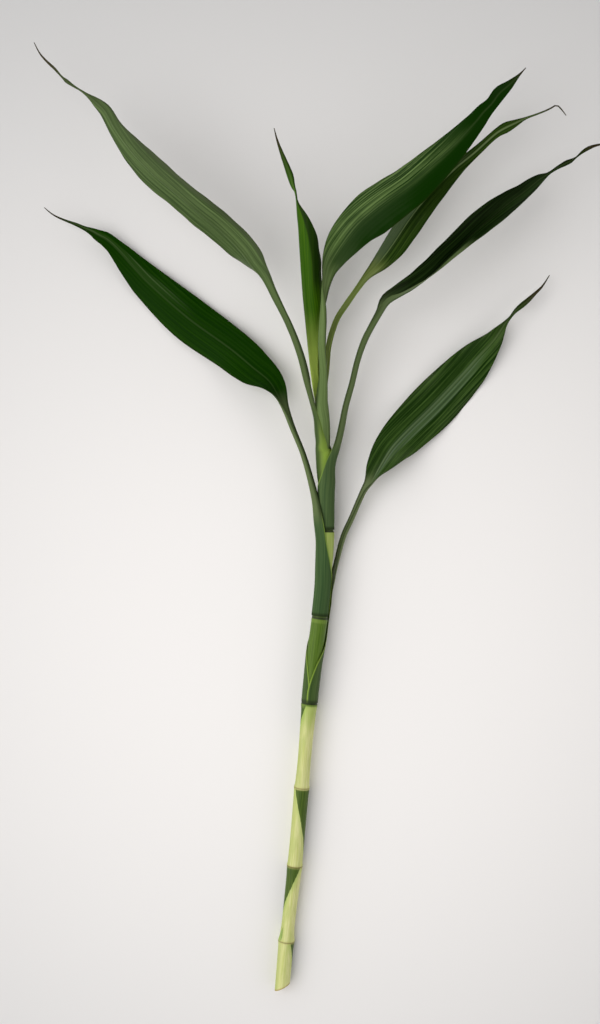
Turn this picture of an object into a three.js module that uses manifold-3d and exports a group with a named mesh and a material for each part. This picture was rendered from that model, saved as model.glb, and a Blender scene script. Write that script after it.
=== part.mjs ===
// A cut stem of lucky bamboo with seven leaves, lying on a table.
// Millimetres, +Z up. +Y runs along the stem from the cut end to the leaf tips, +X is to the right seen from above.
// The table is z = 0. The stem's lowest node and the low edges of the two lowest leaves touch it.

import * as THREE from "three";
import { mergeVertices } from "three/addons/utils/BufferGeometryUtils.js";
import Module from "manifold-3d";

// ---------------------------------------------------------------------------
// Driving dimensions
// ---------------------------------------------------------------------------
const SHEATH_WALL = 0.6; // leaf base wrapped round the stem
const BLADE_THICKNESS = 0.8;
const MIDRIB_KEEL = 0.4; // how far the midrib stands out under the blade
const WAVE_HEIGHT = 0.5; // height of the waves in a blade's edge
const WAVE_LENGTH = 46;
const FULL_WIDTH = 26; // blade width at which the waves reach their full height

const CANE_SIDES = 24;
const BLADE_DIVISIONS = 5; // strips from the midrib to one edge
const SHEATH_SPACING = 5.5; // about how far apart the sections of a wrapped base are
const BLADE_SPACING = 9; // and those of the rest of the leaf
const CUT_SLANT = 0.32; // how far the lower cut leans: along the stem per millimetre across

const BUD_LENGTH = 6;
const BUD_RADIUS = 1.5;
const BUD_PLACE = new THREE.Vector3(-24, -233.6, 5.8);

// The line that the stem follows: x, y, z of points from the cut end to the top.
const STEM_LINE = [
  [-23.2, -265, 4.6],
  [-20.8, -237.5, 4.35],
  [-16, -194, 5.4],
  [-12, -150, 6.2],
  [-7.8, -102.5, 7.2],
  [-5.2, -77.5, 7.8],
  [-1.9, -53.5, 8.5],
  [-0.3, -38, 8.9],
  [1, -18.5, 9.3],
  [1.5, -4.5, 9.6],
  [1.8, 8, 9.9],
  [1.6, 22.5, 10.2],
  [0.4, 41, 10.6],
  [-0.5, 57.5, 11],
  [-1, 69, 11.4],
];

// The cane: y along the stem, and its radius there. It steps down inside each leaf's wrapped base.
const CANE_ROWS = [
  [-263, 4.15],
  [-252, 4.15],
  [-242.5, 4.3],
  [-239.5, 4.55],
  [-236, 4.55],
  [-233, 4.25],
  [-226, 3.8],
  [-213, 3.9],
  [-199.5, 4.1],
  [-196, 4.35],
  [-193, 4.35],
  [-190.5, 4.15],
  [-171, 4.1],
  [-154, 4.15],
  [-151.3, 4.35],
  [-149, 4.35],
  [-147, 4.05],
  [-136, 3.7],
  [-123, 3.85],
  [-110, 4.1],
  [-104.8, 4.25],
  [-103.8, 4.55],
  [-102.5, 4.55],
  [-101.9, 3.75],
  [-76, 3.75],
  [-69, 4.2],
  [-57, 4.35],
  [-55.6, 4.6],
  [-53.9, 4.6],
  [-53.3, 3.8],
  [-35, 3.8],
  [-26, 4.1],
  [-18, 4.3],
  [-8, 4.45],
  [-6.8, 4.65],
  [-5.2, 4.65],
  [-4.6, 3.7],
  [6.4, 3.7],
  [7.4, 2.75],
  [23.2, 2.75],
  [24.2, 1.9],
  [36.4, 1.9],
  [37.2, 1.1],
  [45.2, 1],
];

// Each leaf is one grown piece. Its base wraps the stem, as sheath rows; the leaf stalk, the blade and the thin
// tip follow, as blade rows.
// sheath row: y on the stem, radius, half of the angle that it wraps, roll
// blade row: x, y, z of the midrib, width along the surface, fold, curl, roll
// fold: angle of each half at the midrib. curl: how far a half bends from there to its edge.
// roll: 0 turns the upper face up, 90 turns it to the right of the midrib's run, 180 down.
const LEAVES = {
  leaf_lower_right: {
    sheath: [
      [-101.2, 4.45, 172, -15],
      [-93.5, 4.45, 170, -15],
      [-80, 4.65, 147, -15],
      [-72.5, 4.95, 110, -15],
      [-65, 5.15, 72, -15],
      [-53.5, 5.5, 50, -18],
      [-43.5, 5.7, 45, -28],
    ],
    blade: [
      [5.5, -34.5, 4.8, 5.8, 0, 55, -50],
      [8.5, -25, 5.4, 6, 0, 75, -68],
      [13, -9, 5.8, 7, 0, 95, -75],
      [18, 2, 6.2, 7, 0, 100, -75],
      [24, 17, 7, 7.2, 5, 90, -65],
      [27, 23, 7.4, 9.5, 12, 60, -50],
      [31, 32, 7.4, 15, 18, 20, -26],
      [37.5, 42, 7, 20, 8, 5, -10],
      [45.5, 50.5, 5.9, 24, 2, -8, 0],
      [63.5, 67.5, 4, 27.5, 0, -16, 5],
      [80.5, 85, 4.2, 24, 0, -14, 6],
      [88, 94, 5.1, 19, 0, -10, 5],
      [95.5, 103, 6.2, 11, 5, -5, 0],
      [100.5, 109.5, 7.2, 5, 10, 0, 0],
      [103.5, 114, 7.6, 1.8, 20, 20, 0],
      [110.5, 121.5, 7, 1.4, 20, 20, 0],
      [120.5, 131, 6, 1, 20, 20, 0],
      [128, 140, 5, 0.8, 20, 20, 0],
    ],
    phase: 0.4,
  },
  leaf_lower_left: {
    sheath: [
      [-52.5, 4.5, 172, 90],
      [-35, 4.5, 172, 90],
      [-24.5, 4.9, 137, 90],
      [-18, 5.05, 114, 90],
      [-10, 5.3, 92, 90],
    ],
    blade: [
      [-5.2, 1, 9.6, 17.4, 0, 82, 88],
      [-6.5, 14, 9.8, 11.6, 0, 95, 85],
      [-12.3, 37, 11, 7.7, 0, 100, 80],
      [-19, 53, 12, 7.6, 0, 98, 76],
      [-23.2, 64.5, 12, 9.2, 8, 60, 62],
      [-29.2, 78.5, 10.5, 15.7, 10, 15, 25],
      [-39.5, 88.5, 8, 21, 3, -3, 8],
      [-51.8, 98.3, 5.5, 24, 0, -12, 2],
      [-75.3, 116.3, 3.1, 25.5, 0, -18, -3],
      [-98.2, 135.8, 3.1, 20, 0, -16, -3],
      [-108.3, 146.2, 3.6, 15, 0, -12, 0],
      [-118.8, 157.5, 4.8, 9.2, 3, -8, 8],
      [-126.5, 162.5, 6, 7, 8, 0, 10],
      [-132.5, 165.3, 6.5, 2.2, 12, 10, 5],
      [-144, 170, 7.5, 1.4, 20, 20, 0],
      [-151, 173.3, 8, 1, 20, 20, 0],
      [-157, 177.5, 8.5, 0.8, 20, 20, 0],
    ],
    phase: 2.1,
  },
  leaf_right: {
    sheath: [
      [-3.8, 4.5, 172, -90],
      [16.5, 4.5, 171, -90],
      [22.5, 4.7, 141, -90],
      [31.5, 5.4, 92, -90],
    ],
    blade: [
      [9.2, 42, 10.5, 11.2, 0, 92, -92],
      [12.4, 51.5, 11.5, 10.6, 0, 98, -92],
      [14.6, 64, 13, 9.2, 0, 100, -92],
      [18.3, 76, 15, 8.8, 0, 100, -92],
      [21.4, 90.5, 18, 8.8, 0, 100, -92],
      [25, 102, 20, 9.7, 0, 98, -90],
      [32.7, 115.5, 23, 9.3, 15, 75, -78],
      [36.6, 120.5, 24, 10.7, 40, 30, -62],
      [42, 124, 24.5, 13.8, 46, 10, -50],
      [49.5, 128, 26, 15.7, 50, 4, -40],
      [59, 135, 27, 19, 52, 2, -28],
      [67, 144.3, 27.5, 18.7, 54, 0, -18],
      [75.2, 152.5, 28, 18.5, 54, -4, -14],
      [83.5, 160.5, 28, 18.3, 48, -8, -12],
      [92.8, 168.5, 27.5, 17, 42, -8, -10],
      [102, 176, 27, 13.4, 36, -6, -8],
      [111, 183, 26, 9.3, 30, 0, -5],
      [121, 190.5, 25, 3.5, 25, 0, 0],
      [131, 198, 24, 1.5, 20, 20, 0],
      [141.5, 203.5, 22.5, 1.5, 20, 20, 0],
      [153, 209.3, 21, 0.9, 20, 20, 0],
      [159, 211, 20, 0.8, 20, 20, 0],
    ],
    phase: 3.3,
  },
  leaf_upper_left: {
    sheath: [
      [8.8, 3.35, 170, 90],
      [20, 3.45, 170, 90],
      [29.5, 3.8, 170, 90],
      [39.5, 4, 168, 90],
      [41.5, 4.05, 158, 92],
      [43.5, 4.1, 118, 104],
      [46, 4.2, 85, 120],
      [50.5, 4.3, 55, 127],
      [57, 4.35, 40, 124],
    ],
    blade: [
      [-5.6, 62.5, 12.9, 5, 0, 45, 115],
      [-7.8, 70, 15.7, 6.5, 0, 75, 100],
      [-10, 78, 18, 8.8, 0, 98, 86],
      [-14, 93.5, 21, 8.4, 0, 98, 86],
      [-20.3, 109.5, 24, 7.6, 0, 95, 88],
      [-27.7, 123.5, 27, 8.3, 5, 80, 94],
      [-34, 133.5, 29.2, 9.3, 12, 55, 104],
      [-39.4, 140.3, 31.2, 16.6, 15, 25, 124],
      [-44.5, 148, 33, 17.5, 14, 12, 136],
      [-56.8, 158, 36, 18, 10, 8, 140],
      [-68.5, 167.5, 38, 19.2, 8, 6, 140],
      [-80.2, 177.8, 38.5, 17.2, 8, 5, 141],
      [-92.6, 188.8, 38.5, 17, 8, 5, 142],
      [-103.2, 200.8, 37, 14.8, 8, 5, 145],
      [-113, 214, 34, 9.3, 8, 5, 150],
      [-123, 229, 31, 4.6, 10, 5, 155],
      [-127.5, 233.5, 29.5, 2, 15, 10, 160],
      [-133, 237.3, 27.5, 1.4, 20, 20, 168],
      [-142.5, 243.5, 26, 1.6, 20, 20, 174],
      [-150.5, 252, 25, 1.1, 20, 20, 180],
      [-159.3, 264.3, 24, 0.8, 20, 20, 180],
    ],
    phase: 5.2,
  },
  leaf_top_right: {
    sheath: [
      [25.6, 2.55, 168, 210],
      [36.5, 2.7, 168, 210],
      [45, 2.9, 165, 208],
      [52, 3.4, 148, 206],
      [58, 3.6, 118, 202],
      [63.5, 3.4, 93, 190],
    ],
    blade: [
      [-0.6, 67.5, 16, 9.8, 0, 88, 188],
      [-0.9, 72, 16.9, 9, 0, 92, 186],
      [-1.3, 83.5, 19.5, 6, 0, 92, 172],
      [-2, 98, 22.5, 5.8, 0, 95, 150],
      [-1.9, 111.5, 25, 6.2, 0, 95, 120],
      [-1.4, 123.5, 27, 9.3, 0, 90, 98],
      [-0.7, 131.5, 29, 11.3, 5, 72, 80],
      [0.6, 138.3, 30.5, 11.8, 12, 40, 60],
      [4.5, 144, 32, 13.9, 12, 14, 34],
      [10, 151.5, 34, 18.8, 8, 0, 15],
      [17.5, 160.2, 37, 22.8, 2, -14, 3],
      [27.5, 167.5, 40, 26, 0, -22, -2],
      [46.2, 181.5, 44, 24.3, 0, -24, -4],
      [64.5, 197.5, 46, 17.8, 0, -20, -4],
      [73.2, 205.8, 46, 13.8, 2, -16, -2],
      [82.2, 215.2, 45.5, 8.9, 5, -10, 0],
      [89.8, 224.7, 45, 6.6, 10, 0, 5],
      [97.3, 233.5, 44, 4.9, 12, 5, 5],
      [104, 239.5, 43, 1.5, 20, 20, 0],
      [107.8, 243.5, 42, 0.8, 20, 20, 0],
    ],
    phase: 1.2,
  },
  leaf_behind: {
    sheath: [
      [38.5, 1.75, 165, -90],
      [51, 2.2, 165, -90],
      [56, 2.3, 125, -90],
      [60.5, 2.15, 96, -90],
    ],
    blade: [
      [1.9, 73.3, 9.6, 6.6, 0, 85, -85],
      [3.3, 85.5, 9.5, 6.5, 0, 88, -70],
      [4.4, 99.5, 10.5, 5.4, 0, 92, -50],
      [8.1, 113.3, 12.5, 4.3, 0, 92, -25],
      [12.7, 122.3, 14, 4.2, 0, 88, -10],
      [18, 130.3, 15.2, 4.2, 5, 85, 5],
      [24.5, 137.5, 17.2, 4.6, 12, 60, 22],
      [32.7, 146, 19.5, 9.8, 8, 15, 45],
      [42, 154, 21.5, 15.3, 2, -12, 52],
      [49.7, 164.2, 23, 16, 0, -16, 54],
      [63.7, 184.2, 25, 13.4, 0, -16, 52],
      [71.3, 194.4, 26, 10.3, 0, -12, 48],
      [80.5, 202, 27, 6.6, 2, -10, 42],
      [89.8, 210, 27.5, 5.8, 5, -8, 35],
      [100.8, 217.5, 27.5, 4.9, 8, -5, 25],
      [109, 221.8, 27, 2.2, 15, 5, 15],
      [115.8, 224, 26.5, 1.2, 20, 10, 10],
      [123.5, 227, 26, 1, 20, 20, 0],
      [129, 229.5, 25.5, 0.8, 20, 20, 0],
      [133.4, 223.8, 25, 0.8, 20, 20, 0],
    ],
    phase: 4.4,
  },
  leaf_centre: {
    sheath: [
      [46.4, 1.05, 160, 45],
      [55, 1.15, 160, 45],
    ],
    blade: [
      [-2.2, 62, 10.1, 6.6, 0, 160, 45],
      [-3.4, 67, 10, 7.8, 0, 160, 45],
      [-5.3, 77, 10, 10.4, 0, 160, 45],
      [-7.5, 95.5, 12, 16.4, 0, 158, 45],
      [-8.3, 107.5, 14, 20, 0, 157, 45],
      [-9.7, 126, 17.5, 26.5, 0, 152, 43],
      [-10.1, 140.5, 21, 26, 0, 128, 38],
      [-11, 151.8, 23.5, 20, 0, 102, 38],
      [-12.4, 161.8, 26, 14.3, 0, 78, 42],
      [-13.6, 169.5, 28.5, 9.5, 0, 52, 55],
      [-15.3, 176.5, 31, 6, 0, 30, 88],
      [-16, 181, 32.3, 4, 0, 20, 120],
      [-17, 186, 33, 4.4, 0, 20, 150],
      [-18.6, 190.5, 34, 2.6, 5, 20, 160],
      [-20.3, 194.7, 34.5, 1.2, 15, 20, 168],
      [-24.2, 204, 35.5, 0.9, 20, 20, 180],
      [-26.7, 214, 36, 0.8, 20, 20, 180],
    ],
    phase: 0,
  },
};

const COLOURS = {
  cane: "#b9c583",
  leaf: "#2c5a1c",
  leaf_back: "#5d7a4a",
  leaf_young: "#5f8f26",
};

// ---------------------------------------------------------------------------
// Smooth lines through rows of numbers
// ---------------------------------------------------------------------------
const UP = new THREE.Vector3(0, 0, 1);
const radians = THREE.MathUtils.degToRad;

// The slope of column c at row i, taken from the rows on either side.
function slopeAt(rows, keys, i, c) {
  const before = Math.max(i - 1, 0);
  const after = Math.min(i + 1, rows.length - 1);
  return (rows[after][c] - rows[before][c]) / (keys[after] - keys[before]);
}

// A smooth curve through the rows, read at key s.
function readRows(rows, keys, s) {
  let i = 0;
  while (i < keys.length - 2 && s > keys[i + 1]) i += 1;
  const span = keys[i + 1] - keys[i];
  const t = (s - keys[i]) / span;
  const t2 = t * t;
  const t3 = t2 * t;
  return rows[i].map(
    (from, c) =>
      (2 * t3 - 3 * t2 + 1) * from +
      (t3 - 2 * t2 + t) * span * slopeAt(rows, keys, i, c) +
      (3 * t2 - 2 * t3) * rows[i + 1][c] +
      (t3 - t2) * span * slopeAt(rows, keys, i + 1, c),
  );
}

// How far along the line each row's point lies.
function distances(rows) {
  const keys = [0];
  for (let i = 1; i < rows.length; i += 1) {
    const step = Math.hypot(rows[i][0] - rows[i - 1][0], rows[i][1] - rows[i - 1][1], rows[i][2] - rows[i - 1][2]);
    keys.push(keys[i - 1] + step);
  }
  return keys;
}

const STEM_KEYS = STEM_LINE.map((point) => point[1]);

function stemPoint(y) {
  return new THREE.Vector3(...readRows(STEM_LINE, STEM_KEYS, y));
}

function stemRun(y) {
  return stemPoint(y + 0.5).sub(stemPoint(y - 0.5)).normalize();
}

// The directions of a section: side lies across the blade, out leaves its upper face.
function sectionFrame(run, roll) {
  const right = run.clone().cross(UP).normalize();
  const above = right.clone().cross(run).normalize();
  const c = Math.cos(radians(roll));
  const s = Math.sin(radians(roll));
  return {
    side: right.clone().multiplyScalar(c).addScaledVector(above, -s),
    out: above.clone().multiplyScalar(c).addScaledVector(right, s),
  };
}

// ---------------------------------------------------------------------------
// Leaves
// ---------------------------------------------------------------------------
// A sheath row as a row of the whole leaf: midrib point, width, fold, curl, roll, wall, keel.
function sheathRow([y, radius, wrap, roll]) {
  const { out } = sectionFrame(stemRun(y), roll);
  const rib = stemPoint(y).addScaledVector(out, -radius);
  return [rib.x, rib.y, rib.z, 2 * radius * radians(wrap), 0, wrap, roll, SHEATH_WALL, 0];
}

function bladeRow(row) {
  const keel = row[3] > 3 ? MIDRIB_KEEL : 0;
  return [...row, BLADE_THICKNESS, keel];
}

// Where a half section is at share q of the way from the midrib to the edge: across, out, and its slope.
function halfSection(fold, curl, q) {
  const f = radians(fold);
  const k = Math.abs(curl) < 0.01 ? radians(0.01) : radians(curl);
  return {
    across: (Math.sin(f + k * q) - Math.sin(f)) / k,
    out: (Math.cos(f) - Math.cos(f + k * q)) / k,
    slope: f + k * q,
  };
}

// The upper and lower points of a leaf's section, from the left edge to the right one.
function sectionPoints(row, run, travelled, phase) {
  const [x, y, z, width, fold, curl, roll, wall, keel] = row;
  const { side, out } = sectionFrame(run, roll);
  const rib = new THREE.Vector3(x, y, z);
  const waviness = keel * (width / FULL_WIDTH) * (WAVE_HEIGHT / MIDRIB_KEEL);
  const upper = [];
  const lower = [];
  for (let j = -BLADE_DIVISIONS; j <= BLADE_DIVISIONS; j += 1) {
    const q = Math.abs(j) / BLADE_DIVISIONS;
    const sign = Math.sign(j);
    const half = halfSection(fold, curl, q);
    const wave = waviness * q * q * Math.sin((2 * Math.PI * travelled) / WAVE_LENGTH + phase + 1.9 * sign);
    const point = rib
      .clone()
      .addScaledVector(side, (sign * half.across * width) / 2)
      .addScaledVector(out, (half.out * width) / 2 + wave);
    const tilt = j === 0 ? 0 : half.slope;
    const normal = out
      .clone()
      .multiplyScalar(Math.cos(tilt))
      .addScaledVector(side, -sign * Math.sin(tilt));
    const reach = j === 0 ? wall / 2 / Math.cos(radians(fold)) : wall / 2;
    const ridge = keel * Math.max(0, 1 - 2.5 * q) ** 2;
    upper.push(onTable(point.clone().addScaledVector(normal, reach)));
    lower.push(onTable(point.clone().addScaledVector(normal, -reach - ridge)));
  }
  return { upper, lower };
}

// A point that would dip below the table lies on it.
function onTable(point) {
  point.z = Math.max(point.z, 0);
  return point;
}

// A closed sheet between the upper and the lower points of its sections.
function sheetGeometry(sections) {
  const across = sections[0].upper.length;
  const lowerStart = sections.length * across;
  const points = sections.flatMap((s) => s.upper).concat(sections.flatMap((s) => s.lower));
  const faces = [];
  const quad = (a, b, c, d) => faces.push(a, b, c, a, c, d);
  for (let i = 0; i < sections.length - 1; i += 1) {
    for (let j = 0; j < across - 1; j += 1) {
      const a = i * across + j;
      const b = a + 1;
      const c = b + across;
      const d = a + across;
      quad(a, b, c, d);
      faces.push(lowerStart + a, lowerStart + c, lowerStart + b);
      faces.push(lowerStart + a, lowerStart + d, lowerStart + c);
    }
    const left = i * across;
    const right = left + across - 1;
    quad(left, left + across, lowerStart + left + across, lowerStart + left);
    quad(right, lowerStart + right, lowerStart + right + across, right + across);
  }
  for (let j = 0; j < across - 1; j += 1) {
    const last = (sections.length - 1) * across + j;
    quad(j, lowerStart + j, lowerStart + j + 1, j + 1);
    quad(last, last + 1, lowerStart + last + 1, lowerStart + last);
  }
  const geometry = new THREE.BufferGeometry();
  geometry.setAttribute("position", new THREE.Float32BufferAttribute(points.flatMap((p) => p.toArray()), 3));
  geometry.setIndex(faces);
  return geometry;
}

function leafGeometry({ sheath, blade, phase }) {
  const rows = [...sheath.map(sheathRow), ...blade.map(bladeRow)];
  const keys = distances(rows);
  const length = keys[keys.length - 1];
  const sections = [];
  for (let i = 0; i < rows.length - 1; i += 1) {
    const gap = keys[i + 1] - keys[i];
    const spacing = i < sheath.length + 1 ? SHEATH_SPACING : BLADE_SPACING;
    const steps = Math.max(1, Math.round(gap / spacing));
    for (let step = 0; step < steps; step += 1) sections.push(keys[i] + (gap * step) / steps);
  }
  sections.push(length);
  const ribAt = (s) => new THREE.Vector3(...readRows(rows, keys, s).slice(0, 3));
  return sheetGeometry(
    sections.map((s) => {
      const run = ribAt(Math.min(s + 0.5, length)).sub(ribAt(Math.max(s - 0.5, 0))).normalize();
      return sectionPoints(readRows(rows, keys, s), run, s, phase);
    }),
  );
}

// ---------------------------------------------------------------------------
// Stem
// ---------------------------------------------------------------------------
// A closed tube of rings, with a fan over each end.
function tubeGeometry(rings) {
  const sides = rings[0].length;
  const points = rings.flat();
  const faces = [];
  for (let i = 0; i < rings.length - 1; i += 1) {
    for (let j = 0; j < sides; j += 1) {
      const a = i * sides + j;
      const b = i * sides + ((j + 1) % sides);
      faces.push(a, b, b + sides, a, b + sides, a + sides);
    }
  }
  const top = (rings.length - 1) * sides;
  for (let j = 1; j < sides - 1; j += 1) {
    faces.push(0, j + 1, j);
    faces.push(top, top + j, top + j + 1);
  }
  const geometry = new THREE.BufferGeometry();
  geometry.setAttribute("position", new THREE.Float32BufferAttribute(points.flatMap((p) => p.toArray()), 3));
  geometry.setIndex(faces);
  return geometry;
}

// One ring of the cane. The first ring leans, as the stem was cut at a slant.
function caneRing([y, radius], slant) {
  const centre = stemPoint(y);
  const run = stemRun(y);
  const { side, out } = sectionFrame(run, 0);
  const ring = [];
  for (let j = 0; j < CANE_SIDES; j += 1) {
    const angle = (2 * Math.PI * j) / CANE_SIDES;
    const point = centre
      .clone()
      .addScaledVector(side, radius * Math.cos(angle))
      .addScaledVector(out, radius * Math.sin(angle))
      .addScaledVector(run, slant * radius * Math.cos(angle));
    ring.push(onTable(point));
  }
  return ring;
}

function caneGeometry() {
  return tubeGeometry(CANE_ROWS.map((row, i) => caneRing(row, i === 0 ? CUT_SLANT : 0)).map((ring) => ring.reverse()));
}

// A pointed bud that leans on the cane above its lowest node.
function budGeometry() {
  const profile = [
    [0, -0.5],
    [0.8, -0.35],
    [1, -0.1],
    [0.75, 0.2],
    [0, 0.5],
  ].map(([r, h]) => new THREE.Vector2(r * BUD_RADIUS, h * BUD_LENGTH));
  const bud = new THREE.LatheGeometry(profile, 12);
  bud.rotateZ(radians(14));
  bud.translate(BUD_PLACE.x, BUD_PLACE.y, BUD_PLACE.z);
  return bud;
}

const wasm = await Module();
wasm.setup();

function toSolid(geometry) {
  const bare = geometry.clone();
  bare.deleteAttribute("normal");
  bare.deleteAttribute("uv");
  const merged = mergeVertices(bare, 1e-3);
  const mesh = new wasm.Mesh({
    numProp: 3,
    vertProperties: merged.attributes.position.array,
    triVerts: new Uint32Array(merged.index.array),
  });
  return new wasm.Manifold(mesh);
}

function toGeometry(solid) {
  const mesh = solid.getMesh();
  const geometry = new THREE.BufferGeometry();
  geometry.setAttribute("position", new THREE.Float32BufferAttribute(mesh.vertProperties, 3));
  geometry.setIndex(new THREE.BufferAttribute(mesh.triVerts, 1));
  return geometry;
}

function stemGeometry() {
  return toGeometry(toSolid(caneGeometry()).add(toSolid(budGeometry())));
}

// ---------------------------------------------------------------------------
// Materials and nodes
// ---------------------------------------------------------------------------
function caneMaterial() {
  return new THREE.MeshStandardMaterial({ color: COLOURS.cane, roughness: 0.5, metalness: 0 });
}

function leafMaterial(color) {
  return new THREE.MeshStandardMaterial({ color, roughness: 0.4, metalness: 0 });
}

const LEAF_COLOURS = {
  leaf_upper_left: COLOURS.leaf_back,
  leaf_centre: COLOURS.leaf_young,
};

const group = new THREE.Group();

function addNode(name, geometry, material) {
  const mesh = new THREE.Mesh(geometry, material);
  mesh.name = name;
  group.add(mesh);
}

addNode("stem", stemGeometry(), caneMaterial());
for (const [name, leaf] of Object.entries(LEAVES)) {
  addNode(name, leafGeometry(leaf), leafMaterial(LEAF_COLOURS[name] ?? COLOURS.leaf));
}

export default group;
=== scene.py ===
import math

import bpy
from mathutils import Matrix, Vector


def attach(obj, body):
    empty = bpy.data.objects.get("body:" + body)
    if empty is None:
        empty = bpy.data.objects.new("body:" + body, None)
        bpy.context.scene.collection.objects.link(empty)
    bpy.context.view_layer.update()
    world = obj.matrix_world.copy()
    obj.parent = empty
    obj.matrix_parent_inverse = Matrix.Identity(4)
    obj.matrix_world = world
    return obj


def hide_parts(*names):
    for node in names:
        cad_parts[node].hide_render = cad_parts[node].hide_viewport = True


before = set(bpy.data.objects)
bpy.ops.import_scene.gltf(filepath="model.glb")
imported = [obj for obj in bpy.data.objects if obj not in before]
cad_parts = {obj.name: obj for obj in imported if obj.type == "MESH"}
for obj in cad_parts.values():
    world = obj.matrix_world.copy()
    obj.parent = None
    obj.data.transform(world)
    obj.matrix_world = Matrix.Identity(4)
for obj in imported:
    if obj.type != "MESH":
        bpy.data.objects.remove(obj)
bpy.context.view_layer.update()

# A cut stem of lucky bamboo with seven leaves, lying on a table. Rows are in millimetres and
# degrees, in the frame of the CAD: +Y from the cut end to the leaf tips, +X to the right seen
# from above, +Z up from the table.
MM = 0.001

# ---- Sizes, in millimetres unless a comment says otherwise ----
LEAF_THICKNESS = 0.36
SHEATH_THICKNESS = 0.34
SOLID_WALL = 0.6  # wall of the wrapped bases in the solids, whose outer skin the finer ones share
CLOSED_WRAP = 165  # a base that wraps a larger half angle than this is closed,
LAPPED_WRAP = 186  # and its edges then lap, at this half angle
OVERLAP_LIFT = 0.2  # how far one edge of a wrapped base lies over the other
EDGE_BEGINS = 0.8  # share of the half width from which a leaf thins towards its edge,
EDGE_THINNING = 0.5  # and the share of its thickness that it loses there
MIDRIB_KEEL = 0.45
KEEL_REACH = 1.1  # from the midrib to each side

FULL_WIDTH = 26  # width of a blade that has its waves and pleats in full
WAVED_WIDTHS = (3, 9)  # widths between which they set in
WAVE_HEIGHT = 0.5
WAVE_LENGTH = 46
WAVE_SHIFT = 1.9  # radians from one half of the blade to the other
RIPPLE_HEIGHT = 0.2  # short waves close to the edge
RIPPLE_LENGTH = 13
RIPPLE_SHIFT = 2.3  # radians, as above
RIPPLE_POWER = 6  # how close to the edge they stay
PLEAT_HEIGHT = 0.11
PLEAT_PITCH = 2.1
PLEAT_POWER = 0.8  # how narrow the ridges are
PLEAT_LEVEL = 0.35  # share of its height at which a pleat crosses the blade's own level
PLEAT_WANDER = 0.35  # how far a pleat strays from its even place,
PLEAT_WANDER_RATE = 0.9  # and in what rhythm, in radians per millimetre
PLEAT_RIB = 0.05  # shares of the half width at which the pleats begin beside the midrib
PLEAT_EDGE = 0.86  # and fade towards the edge

STALK_FILL = 0.9  # how much thicker a stalk is in the middle of its channel
FILLED_WIDTHS = (2, 5)  # widths between which that sets in
OPENING_WIDTHS = (8, 14)  # widths between which a stalk turns into the blade

DIVISIONS = 28  # strips from the midrib to one edge
ACROSS = 2 * DIVISIONS + 1  # points across a leaf
SECTION_STEP = 2.2
SHARP_ANGLE = 50  # degrees from which an edge is not shaded smooth
LEAST_CURL = 0.01  # degrees that stand for a section without curl
RUN_REACH = 0.5  # to each side of a place, to read a line's direction there

CANE_SIDES = 72
CANE_STEP = 1.2
# Shallow ridges along the cane: share of its radius, how many round it, radians per millimetre
CANE_RIPPLES = [(0.006, 5, 0.05), (0.004, 11, -0.11)]
CUT_SLANT = 0.6  # rise of the slanted cut, as a share of the width
CUT_REACH = 8  # how far along the cane the slant fades out
CUT_RINGS = (0.93, 0.78, 0.55, 0.28)  # rings of the cut face, as shares of its radius
CUT_SINK = 0.25  # how far the cut face sinks towards the soft middle,
CUT_HUB_SINK = 0.3  # and at the middle itself
CUT_GRAIN = 0.05
CUT_GRAIN_TURN = 7  # radians from one point of a ring to the next
CUT_INWARD = 0.8  # how fast the number that its material reads grows towards the middle

BUD_PLACE = (-23.1, -232.6, 6.6)
BUD_LEAN = -4  # degrees
BUD_RISE = 0.1  # slope away from the cane
BUD_LENGTH = 8.0
BUD_RADIUS = 1.75
BUD_FLATNESS = 0.75
BUD_SIDES = 20
BUD_KEEL = 0.12  # share of the radius by which its keel stands out,
BUD_KEEL_TURN = 2.2  # radians round the bud at which it lies,
BUD_KEEL_POWER = 6  # and how narrow it is
# Place along the bud from its middle, and radius, as shares of its length and its radius
BUD_PROFILE = [
    [-0.5, 0.7], [-0.42, 0.92], [-0.3, 1], [-0.12, 0.86],
    [0.08, 0.6], [0.26, 0.36], [0.4, 0.18], [0.5, 0.04],
]

BOARD_SIZE = 3000
BOARD_DEPTH = 0.05  # under the stem, clear of it
BOARD_MIDDLE = (0.015, -0.06)  # metres
BOARD_PAINTED_FALLOFF = (0.03, 0.56)  # metres from its middle between which the board turns greyer, a painted falloff of the light

# The camera's place in metres, its lens and sensor in millimetres
CAMERA_HEIGHT = 0.690
CAMERA_PLACE = (-0.013, 0.006)
CAMERA_LENS = 42.56
CAMERA_SENSOR = 36.0

# The broad soft light, in metres and watts
WINDOW_PLACE = (-1.05, -0.1, 1.55)
WINDOW_SIZE = (1.9, 1.9)
WINDOW_POWER = 24.2

# Strength of the light from all round: overhead, and what the left and the right add to it
SKY_TOP, SKY_LEFT, SKY_RIGHT = 0.03, 1.15, 0.95
SKY_SIDES = (0.8, -0.8)  # directions between which the right's strength turns into the left's
SKY_HEIGHTS = (0.92, 0.5)  # and those between which it sets in, down from overhead
SKY_COLOUR = (1, 0.99, 0.98, 1)

# The line that the stem follows: x, y, z of points from the cut end to the top.
STEM_LINE = [
    [-23.2, -265, 4.6], [-20.8, -237.5, 4.35], [-16, -194, 5.4], [-12, -150, 6.2],
    [-7.8, -102.5, 7.2], [-5.2, -77.5, 7.8], [-1.9, -53.5, 8.5], [-0.3, -38, 8.9],
    [1, -18.5, 9.3], [1.5, -4.5, 9.6], [1.8, 8, 9.9], [1.6, 22.5, 10.2], [0.4, 41, 10.6],
    [-0.5, 57.5, 11], [-1, 69, 11.4],
]

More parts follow.
